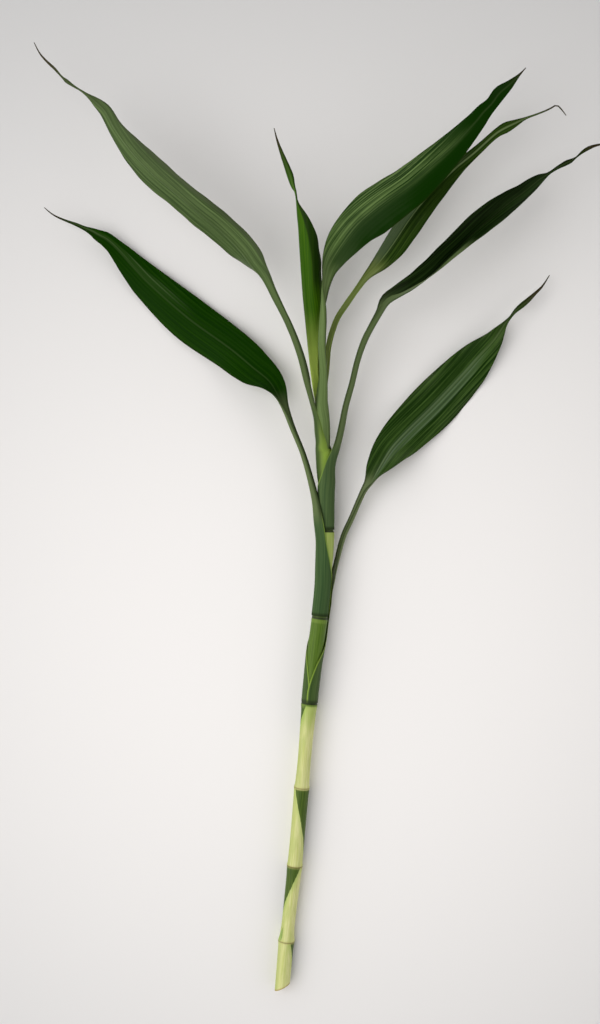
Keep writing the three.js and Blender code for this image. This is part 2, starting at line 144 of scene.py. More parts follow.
# The cane: y along the stem, and its radius there.
CANE_ROWS = [
    [-262.6, 4.15], [-252, 4.2], [-242, 4.3], [-238.2, 4.5], [-237, 4.72], [-236.2, 4.74],
    [-235.4, 4.5], [-233, 4.1], [-229.5, 3.85], [-224, 3.75], [-213, 3.9], [-200, 4.1],
    [-195.8, 4.3], [-194.2, 4.45], [-193.1, 4.45], [-192.4, 4.25], [-189, 4.15],
    [-171, 4.1], [-155, 4.2], [-151.2, 4.35], [-149.8, 4.45], [-148.8, 4.43],
    [-148.1, 4.15], [-145, 3.95], [-136, 3.72], [-123, 3.85], [-110, 4.12], [-105.6, 4.3],
    [-103.2, 4.6], [-102, 4.62], [-101.4, 4.2], [-98, 4.2], [-80, 4.3], [-69, 4.45],
    [-60, 4.5], [-56, 4.55], [-54.6, 4.6], [-53.9, 4.45], [-50, 4.3], [-30, 4.35],
    [-18, 4.7], [-9, 4.8], [-6.6, 4.85], [-5.2, 4.75], [-4.4, 4.1], [6, 3.9], [8, 3],
    [23, 2.9], [25, 2.1], [36, 2], [38, 1.2], [45, 1],
]

# Each leaf is one grown piece: sheath rows, then blade rows.
# sheath row: y on the stem, radius, half of the angle that it wraps, roll
# blade row: x, y, z of the midrib, width along the surface, fold, curl, roll
# stalk: how far along the leaf its stalk may first turn into the blade
# phase: where its waves and pleats begin, in radians
LEAVES = {}
LEAVES["leaf_lower_right"] = dict(stalk=110, phase=0.4, sheath=[
    [-101.2, 4.45, 172, -15], [-93.5, 4.45, 170, -15], [-80, 4.65, 147, -15],
    [-72.5, 4.95, 110, -15], [-65, 5.15, 72, -15], [-53.5, 5.5, 50, -18],
    [-43.5, 5.7, 45, -28],
], blade=[
    [5.5, -34.5, 4.8, 5.8, 0, 55, -50],
    [8, -25, 5.4, 6.2, 0, 75, -68],
    [12.6, -8.8, 5.8, 7.4, 0, 95, -75],
    [17.5, 2.2, 6.2, 7.4, 0, 100, -75],
    [24, 17, 7, 7.4, 5, 90, -65],
    [27.6, 22.4, 7.4, 9.8, 12, 60, -50],
    [32, 31, 7.4, 16, 18, 20, -26],
    [38.2, 41.2, 7, 20.4, 8, 5, -10],
    [46, 49.9, 5.9, 24.2, 2, -8, 0],
    [63.7, 67.3, 4, 27.8, 0, -16, 5],
    [80.4, 85.1, 4.2, 24.2, 0, -14, 6],
    [88, 93.8, 5.1, 19.4, 0, -10, 5],
    [95.8, 102.6, 6.2, 11.4, 5, -5, 0],
    [99.5, 107.9, 6.9, 7, 10, 0, 0],
    [102.3, 112, 7.2, 3.4, 15, 5, 10],
    [105.4, 116, 7.4, 2.2, 20, 20, 40],
    [108.2, 119.2, 7.2, 2.4, 10, 10, 20],
    [112.2, 122.6, 7, 3.1, 10, 0, 0],
    [116.4, 126, 6.8, 2.9, 20, 0, -20],
    [120.4, 129.8, 6.4, 2.1, 20, 10, -30],
    [123.8, 133.4, 6, 1.2, 20, 20, 0],
    [128.2, 140, 5, 0.3, 20, 20, 0],
])
LEAVES["leaf_lower_left"] = dict(stalk=100, phase=2.1, sheath=[
    [-52.5, 4.5, 172, 90], [-35, 4.5, 172, 90], [-24.5, 4.9, 137, 90],
    [-18, 5.05, 114, 90], [-10, 5.3, 92, 90],
], blade=[
    [-5.2, 1, 9.6, 17.4, 0, 82, 88],
    [-6.5, 14, 9.8, 11.6, 0, 95, 85],
    [-12.2, 37, 11, 7.9, 0, 100, 80],
    [-18.6, 53, 12, 7.8, 0, 98, 76],
    [-23.1, 64.4, 12, 9.2, 8, 60, 62],
    [-29.4, 78.1, 10.5, 16.2, 10, 15, 25],
    [-40.1, 87.8, 8, 22, 3, 0, 8],
    [-52, 98, 5.5, 23.8, 0, -6, 2],
    [-75.9, 115.5, 3.3, 25.4, 0, -10, -3],
    [-98.5, 135.4, 3.3, 19.8, 0, -9, -3],
    [-108.6, 145.9, 3.8, 15, 0, -8, 0],
    [-113.6, 151.5, 4.3, 12.2, 0, -8, 3],
    [-119, 157, 4.9, 9.2, 3, -6, 8],
    [-123.2, 160.3, 5.5, 8.4, 6, 0, 12],
    [-127, 162.2, 6, 6.8, 8, 0, 10],
    [-130.5, 164.3, 6.3, 4.4, 12, 5, 0],
    [-134.3, 166, 6.6, 2.6, 12, 10, -10],
    [-139.4, 168.2, 7, 2, 15, 15, 0],
    [-145.7, 170.4, 7.5, 1.4, 20, 20, 20],
    [-152, 173.4, 8, 0.8, 20, 20, 0],
    [-157, 177.4, 8.5, 0.3, 20, 20, 0],
])
LEAVES["leaf_right"] = dict(stalk=100, phase=3.3, sheath=[
    [-3.8, 4.5, 172, -90], [16.5, 4.5, 171, -90], [22.5, 5, 141, -90],
    [31.5, 5.6, 92, -90],
], blade=[
    [9.4, 42, 10.5, 11.8, 0, 92, -92],
    [11.7, 51.6, 11.5, 10.8, 0, 98, -92],
    [14, 64.2, 13, 9.8, 0, 100, -92],
    [17.2, 76.3, 15, 9.3, 0, 100, -92],
    [20.7, 90.8, 18, 9.2, 0, 100, -92],
    [25.1, 102.4, 20, 9.9, 0, 98, -90],
    [32.5, 115.4, 23, 9.6, 15, 75, -78],
    [36.2, 120.8, 24, 12, 40, 30, -62],
    [41.8, 124.3, 24.5, 13.2, 46, 10, -50],
    [49.2, 128.4, 26, 15, 50, 4, -40],
    [58.5, 135.5, 27, 17.6, 52, 2, -28],
    [67, 144.3, 27.5, 18.4, 54, 0, -18],
    [75.4, 152.3, 28, 18.9, 54, -4, -14],
    [83.8, 160.2, 28, 19, 48, -8, -12],
    [93, 168.2, 27.5, 17.6, 42, -8, -10],
    [102.2, 175.7, 27, 13.6, 36, -6, -8],
    [108.3, 180.3, 26.4, 10.4, 32, -3, -6],
    [113.6, 184.7, 25.9, 8.6, 30, 0, -5],
    [118.8, 189, 25.3, 5.4, 25, 0, 0],
    [123.2, 191.8, 25, 2, 20, 10, 30],
    [128.3, 195.2, 24.4, 1.9, 10, 10, 20],
    [133.5, 198, 24, 2.8, 10, 0, 0],
    [136.4, 199.4, 23.3, 2.4, 15, 0, -15],
    [139.4, 201.4, 22.7, 1.3, 20, 10, -50],
    [142.6, 204.3, 22.4, 1.8, 15, 10, -15],
    [145.9, 206.6, 22, 2.1, 10, 0, 0],
    [149.5, 208.2, 21.4, 1.5, 15, 10, 20],
    [153, 209.1, 20.9, 1.1, 20, 20, 0],
    [159, 210.4, 20, 0.3, 20, 20, 0],
])
LEAVES["leaf_upper_left"] = dict(stalk=100, phase=5.2, sheath=[
    [8.8, 3.35, 170, 90], [20, 4.05, 170, 90], [29.5, 4.65, 170, 90],
    [39.5, 4.5, 168, 90], [41.5, 4.4, 158, 92], [43.5, 4.35, 118, 104],
    [46, 4.2, 85, 120], [50.5, 4.3, 55, 127], [57, 4.35, 40, 124],
], blade=[
    [-5.8, 62.5, 12.9, 5.6, 0, 45, 115],
    [-8.2, 69.8, 15.7, 7.8, 0, 75, 100],
    [-10.6, 77.7, 18, 10.4, 0, 98, 84],
    [-14.7, 93.2, 21, 10.8, 0, 98, 84],
    [-20.9, 109.2, 24, 10.4, 0, 95, 86],
    [-28.2, 123.1, 27, 10.8, 5, 80, 92],
    [-33.6, 133.2, 29.2, 12.4, 12, 55, 102],
    [-39.5, 140.1, 31.2, 18.6, 15, 25, 124],
    [-45, 147.3, 33, 19.8, 14, 12, 136],
    [-56.7, 158.6, 36, 18.6, 10, 8, 140],
    [-68.4, 167.8, 38, 19, 8, 6, 140],
    [-80.2, 177.8, 38.5, 17.8, 8, 5, 141],
    [-92.8, 188.6, 38.5, 18, 8, 5, 142],
    [-103.7, 200.3, 37, 15.2, 8, 5, 145],
    [-113.3, 213.7, 34, 9.4, 8, 5, 150],
    [-119, 223.8, 32, 7.6, 9, 5, 152],
    [-123.8, 228.8, 30.8, 5.4, 10, 5, 155],
    [-128.4, 232.9, 29.6, 2.4, 15, 10, 160],
    [-133, 236.6, 28, 1.1, 20, 20, 168],
    [-136.4, 238.8, 27.4, 1.3, 20, 20, 170],
    [-140.8, 242, 26.8, 2.1, 10, 10, 172],
    [-143.7, 244.5, 26.3, 1.3, 20, 20, 140],
    [-147.6, 249.1, 25.8, 1.5, 15, 15, 160],
    [-152.2, 253.6, 25.3, 1.3, 20, 20, 180],
    [-156, 258, 24.8, 0.8, 20, 20, 180],
    [-159.3, 264.3, 24, 0.3, 20, 20, 180],
])
LEAVES["leaf_top_right"] = dict(stalk=70, phase=1.2, sheath=[
    [25.6, 2.55, 168, 210], [36.5, 2.8, 168, 210], [45, 3.5, 165, 208],
    [52, 3.9, 148, 206], [58, 4, 118, 202], [63.5, 3.8, 93, 190],
], blade=[
    [-0.5, 67.5, 16, 10.6, 0, 88, 188],
    [-0.4, 72, 16.9, 9.8, 0, 92, 186],
    [-0.4, 83.5, 19.5, 6.8, 0, 92, 172],
    [-1.8, 98, 22.5, 7, 0, 95, 150],
    [-1.9, 111.5, 25, 8.2, 0, 92, 118],
    [-1.4, 122, 27, 9, 0, 84, 84],
    [-0.4, 129.8, 29, 8.8, 4, 62, 56],
    [1.7, 138, 30.5, 10.8, 10, 32, 34],
    [5.1, 144.4, 32, 13.8, 10, 10, 16],
    [10, 151.6, 34, 18.2, 6, -6, 4],
    [17.3, 160.3, 37, 22.6, 0, -20, -6],
    [24.2, 166.3, 39.2, 26.2, 0, -24, -9],
    [34.1, 173.4, 41.8, 26.2, 0, -28, -10],
    [46.3, 181.6, 44, 24, 0, -28, -10],
    [64.6, 197.3, 46, 17.6, 0, -24, -9],
    [73.2, 205.8, 46, 13.8, 2, -18, -6],
    [80.8, 214, 45.6, 10.4, 5, -10, -2],
    [84.7, 218.9, 45.3, 8.8, 8, -5, 2],
    [89.2, 223.6, 45, 7, 10, 0, 5],
    [93.2, 229.1, 44.6, 7.5, 12, 5, 8],
    [98.2, 233.5, 44, 5, 12, 5, 5],
    [101.5, 236.8, 43.5, 2.9, 15, 10, 0],
    [104, 239.4, 43, 1.5, 20, 20, 0],
    [106, 241.6, 42.5, 0.8, 20, 20, 0],
    [107.9, 243.8, 42, 0.3, 20, 20, 0],
])
LEAVES["leaf_behind"] = dict(stalk=80, phase=4.4, sheath=[
    [38.5, 1.75, 165, -90], [51, 2.2, 165, -90], [56, 2.3, 125, -90],
    [60.5, 2.15, 96, -90],
], blade=[
    [1.9, 73.3, 9.6, 6.6, 0, 85, -85],
    [3.2, 85.5, 9.5, 6.5, 0, 88, -70],
    [4.2, 99.5, 10.5, 5.8, 0, 92, -50],
    [8, 113.3, 12.5, 5, 0, 92, -25],
    [13.3, 122, 14, 4.8, 0, 88, -10],
    [18.6, 130, 15.2, 4.8, 5, 85, 5],
    [23.8, 137.2, 17.4, 6, 18, 52, 14],
    [31.5, 145.3, 19.8, 11.6, 24, 12, 24],
    [37.8, 153.5, 21, 16, 26, 0, 28],
    [46, 165.6, 22.5, 17, 26, -4, 30],
    [53, 174.8, 24, 15.8, 26, -4, 30],
    [63.8, 186.6, 25, 13, 24, -4, 28],
    [73.5, 195.6, 26, 8.6, 20, -5, 22],
    [79.7, 200.5, 26.4, 6.2, 12, -8, 18],
    [84.8, 204.8, 26.7, 5.2, 8, -8, 15],
    [91.2, 210.6, 27, 4.6, 8, -5, 12],
    [95.3, 213.9, 27.3, 4.9, 8, -5, 10],
    [99.8, 216.4, 27.5, 5.8, 8, -5, 8],
    [105.5, 219.1, 27.5, 3.6, 12, 0, 10],
    [110.4, 221.5, 27.2, 1.5, 15, 10, 10],
    [118.5, 224.6, 26.7, 1, 20, 20, 10],
    [124, 227.1, 26, 0.9, 20, 20, 0],
    [127.8, 229.2, 25.5, 0.8, 20, 20, 0],
    [130.4, 227.3, 25.2, 0.7, 20, 20, 0],
    [133.2, 223.8, 25, 0.3, 20, 20, 0],
])
LEAVES["leaf_centre"] = dict(stalk=20, phase=0, sheath=[
    [46.4, 1.05, 160, 45], [55, 1.15, 160, 45],
], blade=[
    [-2.6, 62, 10.4, 7.4, 0, 160, 60],
    [-4.1, 67, 10.5, 8.8, 0, 160, 65],
    [-5.9, 77, 11, 10, 0, 160, 75],
    [-8, 95.5, 13.9, 15.4, 0, 158, 86],
    [-9.2, 107.5, 16.6, 19, 0, 157, 92],
    [-11, 126, 21.2, 26.8, 0, 145, 98],
    [-12.1, 140.5, 25, 28, 0, 126, 106],
    [-12.9, 151.8, 27, 24.8, 0, 122, 106],
    [-13.6, 161.8, 28.8, 18.3, 0, 90, 108],
    [-14.3, 169.5, 30, 9.8, 0, 55, 112],
    [-15, 175.5, 31, 3.2, 0, 30, 104],
    [-15.5, 180, 31.6, 1.8, 0, 20, 125],
    [-16.9, 183.2, 32.3, 2.6, 0, 20, 155],
    [-18.2, 188.2, 33, 3.6, 5, 15, 172],
    [-20.2, 193.6, 33.8, 3.1, 8, 10, 175],
    [-22.5, 199.3, 34.6, 2.3, 12, 10, 180],
    [-25.4, 207.3, 35.5, 1.1, 20, 20, 180],
    [-27, 213.4, 36, 0.3, 20, 20, 180],
])


# ---- Smooth lines through rows of numbers ----
UP = Vector((0, 0, 1))


def slope_at(rows, keys, i, c):
    """How steeply column c changes at row i."""
    before, after = max(i - 1, 0), min(i + 1, len(rows) - 1)
    return (rows[after][c] - rows[before][c]) / (keys[after] - keys[before])


def read_rows(rows, keys, s):
    """The row at place s, on smooth curves through the rows at their keys."""
    i = 0
    while i < len(keys) - 2 and s > keys[i + 1]:
        i += 1
    span = keys[i + 1] - keys[i]
    t = (s - keys[i]) / span
    t2, t3 = t * t, t * t * t
    return [
        (2 * t3 - 3 * t2 + 1) * rows[i][c]
        + (t3 - 2 * t2 + t) * span * slope_at(rows, keys, i, c)
        + (3 * t2 - 2 * t3) * rows[i + 1][c]
        + (t3 - t2) * span * slope_at(rows, keys, i + 1, c)
        for c in range(len(rows[i]))
    ]


STEM_KEYS = [point[1] for point in STEM_LINE]


def stem_point(y):
    return Vector(read_rows(STEM_LINE, STEM_KEYS, y))


def stem_run(y):
    """The direction in which the stem grows at y."""
    return (stem_point(y + RUN_REACH) - stem_point(y - RUN_REACH)).normalized()


def section_frame(run, roll):
    """The directions of a section: side lies across the blade, out leaves its upper face."""
    right = run.cross(UP).normalized()
    above = right.cross(run).normalized()
    c, s = math.cos(math.radians(roll)), math.sin(math.radians(roll))
    return right * c - above * s, above * c + right * s


def smooth(low, high, value):
    """0 up to low, 1 from high, smooth between."""
    t = min(max((value - low) / (high - low), 0), 1)
    return t * t * (3 - 2 * t)


# ---- Meshes ----
def mesh_object(name, verts, faces):
    mesh = bpy.data.meshes.new(name)
    mesh.from_pydata([v * MM for v in verts], [], faces)
    mesh.validate()
    mesh.polygons.foreach_set("use_smooth", [True] * len(mesh.polygons))
    mesh.set_sharp_from_angle(angle=math.radians(SHARP_ANGLE))
    piece = bpy.data.objects.new(name, mesh)
    bpy.context.scene.collection.objects.link(piece)
    return piece


def add_attribute(piece, name, values):
    """A number at each point, which the piece's material reads."""
    layer = piece.data.attributes.new(name, "FLOAT", "POINT")
    layer.data.foreach_set("value", values)


def tube_faces(rings, sides):
    """The wall of a tube of rings that follow each other."""
    faces = []
    for i in range(rings - 1):
        for j in range(sides):
            a, b = i * sides + j, i * sides + (j + 1) % sides
            faces.append((a, a + sides, b + sides, b))
    return faces


def end_face(first, sides):
    """The face that closes the end of a tube, over the ring that begins at point first."""
    return tuple(first + j for j in range(sides - 1, -1, -1))


# ---- Leaves ----
# Columns of a whole leaf's rows, after x, y and z
WIDTH, FOLD, CURL, ROLL, WALL, SHEATH = range(3, 9)

# What a leaf's material reads at each point: place across from -1 to 1, millimetres from the
# midrib, 1 for blade or 0 for stalk and base, height of the pleat, millimetres from both ends
LEAF_FACTS = ("across", "offset", "blade", "ridge", "along", "to_tip")


def sheath_row(y, radius, wrap, roll):
    """A wrapped base's row, as a row of the blade that is bent round the stem."""
    radius += (SOLID_WALL - SHEATH_THICKNESS) / 2
    wrap = LAPPED_WRAP if wrap > CLOSED_WRAP else wrap
    out = section_frame(stem_run(y), roll)[1]
    rib = stem_point(y) - out * radius
    return [*rib, 2 * radius * math.radians(wrap), 0, wrap, roll, SHEATH_THICKNESS, 1]


def leaf_rows(leaf):
    """All rows of a leaf, and how far along its midrib each lies."""
    rows = [sheath_row(*row) for row in leaf["sheath"]]
    rows += [[*row, LEAF_THICKNESS, 0] for row in leaf["blade"]]
    keys = [0]
    for before, after in zip(rows, rows[1:]):
        keys.append(keys[-1] + (Vector(after[:3]) - Vector(before[:3])).length)
    return rows, keys


def midrib_run(rows, keys, s):
    """The direction in which the leaf grows at s."""
    before, after = max(s - RUN_REACH, 0), min(s + RUN_REACH, keys[-1])
    start, end = [Vector(read_rows(rows, keys, place)[:3]) for place in (before, after)]
    return (end - start).normalized()


def widest_place(leaf, rows, keys):
    """How far along the leaf its blade is widest, past its first third."""
    blade = range(len(leaf["sheath"]), len(rows))
    widest = max(blade, key=lambda i: rows[i][WIDTH] * (keys[i] > keys[-1] / 3))
    return keys[widest]


def blade_share(leaf, row, s, widest):
    """1 where the leaf is a blade, 0 where it is a stalk or a wrapped base."""
    if s > widest:
        return 1
    if s <= leaf["stalk"]:
        return 0
    return smooth(*OPENING_WIDTHS, row[WIDTH]) * (1 - min(max(row[SHEATH], 0), 1))


def half_section(fold, curl, q):
    """Place across, height and slope at share q of the half width, for a half width of 1."""
    start = math.radians(fold)
    bend = math.radians(curl if abs(curl) > LEAST_CURL else LEAST_CURL)
    slope = start + bend * q
    across = (math.sin(slope) - math.sin(start)) / bend
    rise = (math.cos(start) - math.cos(slope)) / bend
    return across, rise, slope


def edge_wave(q, sign, travelled, phase):
    """Height of the waves, which grow towards the edge."""
    turn = 2 * math.pi * travelled / WAVE_LENGTH + phase + WAVE_SHIFT * sign
    short_turn = 2 * math.pi * travelled / RIPPLE_LENGTH + 3 * phase + RIPPLE_SHIFT * sign
    wave = WAVE_HEIGHT * q * q * math.sin(turn)
    return wave + RIPPLE_HEIGHT * q**RIPPLE_POWER * math.sin(short_turn)


def pleat(w, share, phase):
    """Height of the pleats at w from the midrib: round valleys between narrow ridges."""
    strayed = w + PLEAT_WANDER * math.sin(PLEAT_WANDER_RATE * w + phase)
    turn = math.pi * strayed / PLEAT_PITCH + phase
    ridge = 1 - abs(math.sin(turn)) ** PLEAT_POWER
    fade = 1 - smooth(PLEAT_EDGE, 1, share)
    return (ridge - PLEAT_LEVEL) * fade * smooth(0, PLEAT_RIB, share)


def leaf_section(row, run, travelled, phase, blade):
    """Points of the upper and the lower face from the left edge to the right one, and facts."""
    side, out = section_frame(run, row[ROLL])
    rib, width = Vector(row[:3]), row[WIDTH]
    sheath = min(max(row[SHEATH], 0), 1)
    spread = min(width / FULL_WIDTH, 1) * smooth(*WAVED_WIDTHS, width) * blade
    fill = STALK_FILL * (1 - sheath) * (1 - blade) * smooth(*FILLED_WIDTHS, width)
    upper, lower, facts = [], [], []
    for j in range(-DIVISIONS, DIVISIONS + 1):
        q, sign = abs(j) / DIVISIONS, (j > 0) - (j < 0)
        across, rise, slope = half_section(row[FOLD], row[CURL], q)
        w = q * width / 2
        height = rise * width / 2 + spread * edge_wave(q, sign, travelled, phase)
        point = rib + side * (sign * across * width / 2) + out * height
        tilt = slope if j else 0
        normal = out * math.cos(tilt) - side * (sign * math.sin(tilt))
        ridge = pleat(sign * w, q, phase)
        point += normal * (spread * PLEAT_HEIGHT * ridge)
        point -= normal * (sheath * OVERLAP_LIFT * sign * q * q)
        half = row[WALL] / 2 * (1 - EDGE_THINNING * smooth(EDGE_BEGINS, 1, q))
        keel = MIDRIB_KEEL * spread * max(0, 1 - w / KEEL_REACH) ** 2
        upper.append(point + normal * (half + fill * (1 - q * q)))
        lower.append(point - normal * (half + keel))
        facts.append((sign * q, sign * w, blade, ridge))
    return upper, lower, facts


def leaf_faces(count):
    """Faces of a leaf of count sections: both faces, both edges, both ends."""
    lower = count * ACROSS
    faces = []
    for i in range(count - 1):
        for j in range(ACROSS - 1):
            a = i * ACROSS + j
            b = lower + a
            faces.append((a, a + 1, a + 1 + ACROSS, a + ACROSS))
            faces.append((b, b + ACROSS, b + 1 + ACROSS, b + 1))
        left, right = i * ACROSS, i * ACROSS + ACROSS - 1
        faces.append((left, left + ACROSS, lower + left + ACROSS, lower + left))
        faces.append((right, lower + right, lower + right + ACROSS, right + ACROSS))
    last = (count - 1) * ACROSS
    for j in range(ACROSS - 1):
        k = last + j
        faces.append((j, lower + j, lower + j + 1, j + 1))
        faces.append((k, k + 1, lower + k + 1, lower + k))
    return faces


def leaf_piece(name, leaf):
    rows, keys = leaf_rows(leaf)
    length = keys[-1]
    widest = widest_place(leaf, rows, keys)
    steps = round(length / SECTION_STEP)
    upper, lower, facts = [], [], []
    for i in range(steps + 1):
        s = length * i / steps
        row = read_rows(rows, keys, s)
        blade = blade_share(leaf, row, s, widest)
        section = leaf_section(row, midrib_run(rows, keys, s), s, leaf["phase"], blade)
        upper += section[0]
        lower += section[1]
        facts += [(*fact, s, length - s) for fact in section[2]]
    piece = mesh_object(name, upper + lower, leaf_faces(steps + 1))
    both_faces = facts + facts
    for fact, values in zip(LEAF_FACTS, zip(*both_faces)):
        add_attribute(piece, fact, values)
    add_attribute(piece, "upper", [1.0] * len(upper) + [0.0] * len(lower))
    return piece


# ---- Cane and bud ----
CANE_KEYS = [row[0] for row in CANE_ROWS]


def cane_stations():
    """Places along the cane, about a step apart, with every row among them."""
    stations = []
    for before, after in zip(CANE_KEYS, CANE_KEYS[1:]):
        steps = max(1, round((after - before) / CANE_STEP))
        stations += [before + (after - before) * i / steps for i in range(steps)]
    return stations + [CANE_KEYS[-1]]


def cane_ring(y):
    """Points round the cane at y, from its right side over its top."""
    radius = read_rows(CANE_ROWS, CANE_KEYS, y)[1]
    middle, run = stem_point(y), stem_run(y)
    side, out = section_frame(run, 0)
    slant = CUT_SLANT * (1 - smooth(0, CUT_REACH, y - CANE_KEYS[0]))
    ring = []
    for j in range(CANE_SIDES):
        turn = 2 * math.pi * j / CANE_SIDES
        ripple = 1
        for share, ridges, twist in CANE_RIPPLES:
            ripple += share * math.sin(ridges * turn + twist * y)
        across, rise = radius * ripple * math.cos(turn), radius * ripple * math.sin(turn)
        point = middle + (side * across + out * rise) + run * (slant * radius * math.cos(turn))
        point.z = max(point.z, 0)
        ring.append(point)
    return ring


def ring_angle(j):
    """Degrees round the cane of a ring's point j, from -90 to 270, so that the jump is below."""
    turn = 2 * math.pi * j / CANE_SIDES
    return math.degrees(turn) if turn <= 1.5 * math.pi else math.degrees(turn) - 360


def cut_face(rim, first):
    """The cut end inside the cane's first ring, whose own points begin at point first.

    Returns its points, how far each is from the rim towards the middle, and its faces.
    """
    run = stem_run(CANE_KEYS[0])
    centre = sum(rim, Vector()) / CANE_SIDES
    points, depths, faces, starts = [], [], [], [0]
    for share in CUT_RINGS:
        starts.append(first + len(points))
        for j, corner in enumerate(rim):
            sink = CUT_SINK * (1 - share) + CUT_GRAIN * math.sin(CUT_GRAIN_TURN * j)
            points.append(centre + (corner - centre) * share + run * sink)
            depths.append(1 - CUT_INWARD * share)
    for outer, inner in zip(starts, starts[1:]):
        for j in range(CANE_SIDES):
            k = (j + 1) % CANE_SIDES
            faces.append((outer + j, outer + k, inner + k, inner + j))
    hub = first + len(points)
    points.append(centre + run * CUT_HUB_SINK)
    depths.append(1.0)
    for j in range(CANE_SIDES):
        faces.append((starts[-1] + j, starts[-1] + (j + 1) % CANE_SIDES, hub))
    return points, depths, faces


def cane_piece():
    stations = cane_stations()
    rings = [cane_ring(y) for y in stations]
    skin = [point for ring in rings for point in ring]
    points, depths, cut_faces = cut_face(rings[0], len(skin))
    top = end_face(len(skin) - CANE_SIDES, CANE_SIDES)
    faces = tube_faces(len(rings), CANE_SIDES) + cut_faces + [top]
    piece = mesh_object("cane", skin + points, faces)
    along = [y for y in stations for _ in range(CANE_SIDES)]
    angles = [ring_angle(j) for j in range(CANE_SIDES)]
    hub_angle = 90.0
    add_attribute(piece, "along", along + [CANE_KEYS[0]] * len(points))
    add_attribute(piece, "angle", angles * (len(rings) + len(CUT_RINGS)) + [hub_angle])
    add_attribute(piece, "cut", [0.0] * len(skin) + depths)
    return piece


def bud_piece():
    """The pointed bud that leans on the cane above its lowest node."""
    lean = math.radians(BUD_LEAN)
    run = Vector((-math.sin(lean), math.cos(lean), BUD_RISE)).normalized()
    side, out = section_frame(run, 0)
    verts, along = [], []
    for place, radius in BUD_PROFILE:
        middle = Vector(BUD_PLACE) + run * (place * BUD_LENGTH)
        for j in range(BUD_SIDES):
            turn = 2 * math.pi * j / BUD_SIDES
            keel = 1 + BUD_KEEL * max(0, math.cos(turn - BUD_KEEL_TURN)) ** BUD_KEEL_POWER
            offset = side * math.cos(turn) + out * (BUD_FLATNESS * math.sin(turn))
            verts.append(middle + offset * (radius * BUD_RADIUS * keel))
            along.append(place + 0.5)
    faces = tube_faces(len(BUD_PROFILE), BUD_SIDES)
    faces.append(tuple(range(BUD_SIDES)))
    faces.append(end_face(len(verts) - BUD_SIDES, BUD_SIDES))
    piece = mesh_object("bud", verts, faces)
    add_attribute(piece, "along", along)
    return piece


# ---- Looks ----
# A tone is red, green and blue from 0 to 255. A step is where a thing sets in and where it is
# full. A shade is a step, a share and a tone. A grain is a noise's scale across and along, and
# the depth at which it is cut. Lengths are in millimetres.
LEAF_BANDS = (0.2, 0.008, 9.0)
LEAF_STREAKS = (0.8, 0.012, 0.0)
LEAF_VEINS = (1.6, 0.012, 0.0)
LEAF_PATCHES = (0.09, 0.045, 4.0)
STREAKS_IN_MOTTLE, BANDS_IN_MOTTLE = 0.75, 0.25
MOTTLE_STEP = (0.42, 0.66)
VEIN_STEP = (0.5, 0.68)
VEIN_SHARE = 0.45
# Painted highlight: the light lines on the pleats' ridges; the next three numbers place it and set
# its share on the back
CREST_HIGHLIGHT_STEP = (0.15, 0.55)  # heights of the pleats between which their light lines set in,
CREST_HIGHLIGHT_STREAKS = (0.35, 0.6)  # only where the streaks are light
CREST_HIGHLIGHT_ON_BACK = 0.5
PATCH_STEP = (0.5, 0.75)
PATCH_SHARE = 0.35
# Steps of the painted light by side: across the blade for its right half, and in millimetres from
# the tip
PAINTED_LIGHT_HALF = (-0.2, 0.3)
LEFT_HALF = (0.2, -0.2)
PAINTED_LIGHT_TIP = (80, 40)
YOUNG_FADE = 0.4
STRIP_FADE = 0.12
FURROW_STEP = (-0.2, 0.4)
RIB_STEP = (0.8, 0.15)
RIB_TONE = (112, 132, 84)
BASE_STREAKS = (0.25, 0.75)
STALK_FADE = 1.25
STALK_TONE = (98, 111, 72)
# Painted shade: the dark edges of the stalks
STALK_EDGE_PAINTED_SHADE = ((0.65, 0.97), 0.75, (28, 42, 14))
MARGIN_FADE = 0.35  # how far across the wide pale edge takes to be full,
MARGIN_END = 0.985  # which it is here at the latest
MARGIN_FADE_ALONG = 0.5
THIN_EDGE = (0.93, 0.985)
THIN_EDGE_SHARE = 0.6
PALE_EDGE_SHARE = 0.7
PALE_EDGE_TONE = (148, 178, 66)
FOOT = ((2.6, 0.8), 0.85, (38, 50, 26))  # the dark line where a leaf grows from its node
BLADE_RIM = ((0.94, 1.0), 0.5, (40, 48, 14))
WILTED_STEP = (2.2, 0.8)  # in lengths of the dry tip, as DRY_FADE is
WILTED_SHARE = 0.6
WILTED_TONE = (34, 44, 12)
DRY_FADE = 0.4
DRY_SHARE = 0.9
DRY_TONE = (52, 42, 26)
FACE_ROUGHNESS = (0.27, 0.12)  # the least, and what the streaks add
BACK_ROUGHNESS = (0.48, 0.1)
DRY_ROUGHNESS = 0.2
STREAKS_IN_BUMP = 0.8
LEAF_BUMP = (0.3, 0.1)  # strength and depth
LEAF_GLOSS = (1, 1, 0.7, 1)

CANE_FIBRES = (0.14, 0.05, 0.0)
CANE_CLOUDS = (0.02, 0.07, 2.0)
CANE_THREADS = (0.3, 0.7)
CANE_PALE = ((188, 193, 115), (215, 213, 156))
CANE_GREEN = ((64, 92, 22), (88, 116, 36))
CANE_YOUNG = ((136, 156, 74), (160, 174, 96))
CANE_DARK = ((44, 70, 16), (80, 102, 36))
CLOUD_SHADE = ((0.42, 0.7), 0.4, (158, 174, 90))
LEFT_SHADE = ((105, 150), 0.6, (146, 160, 84))  # degrees round the cane
UPPER_SHADE = ((-120, -106), 0.5, (136, 164, 66))  # y, as the next two are
GREEN_BEGINS = (-103.6, -102.6)
YOUNG_BEGINS = (-54, -50)

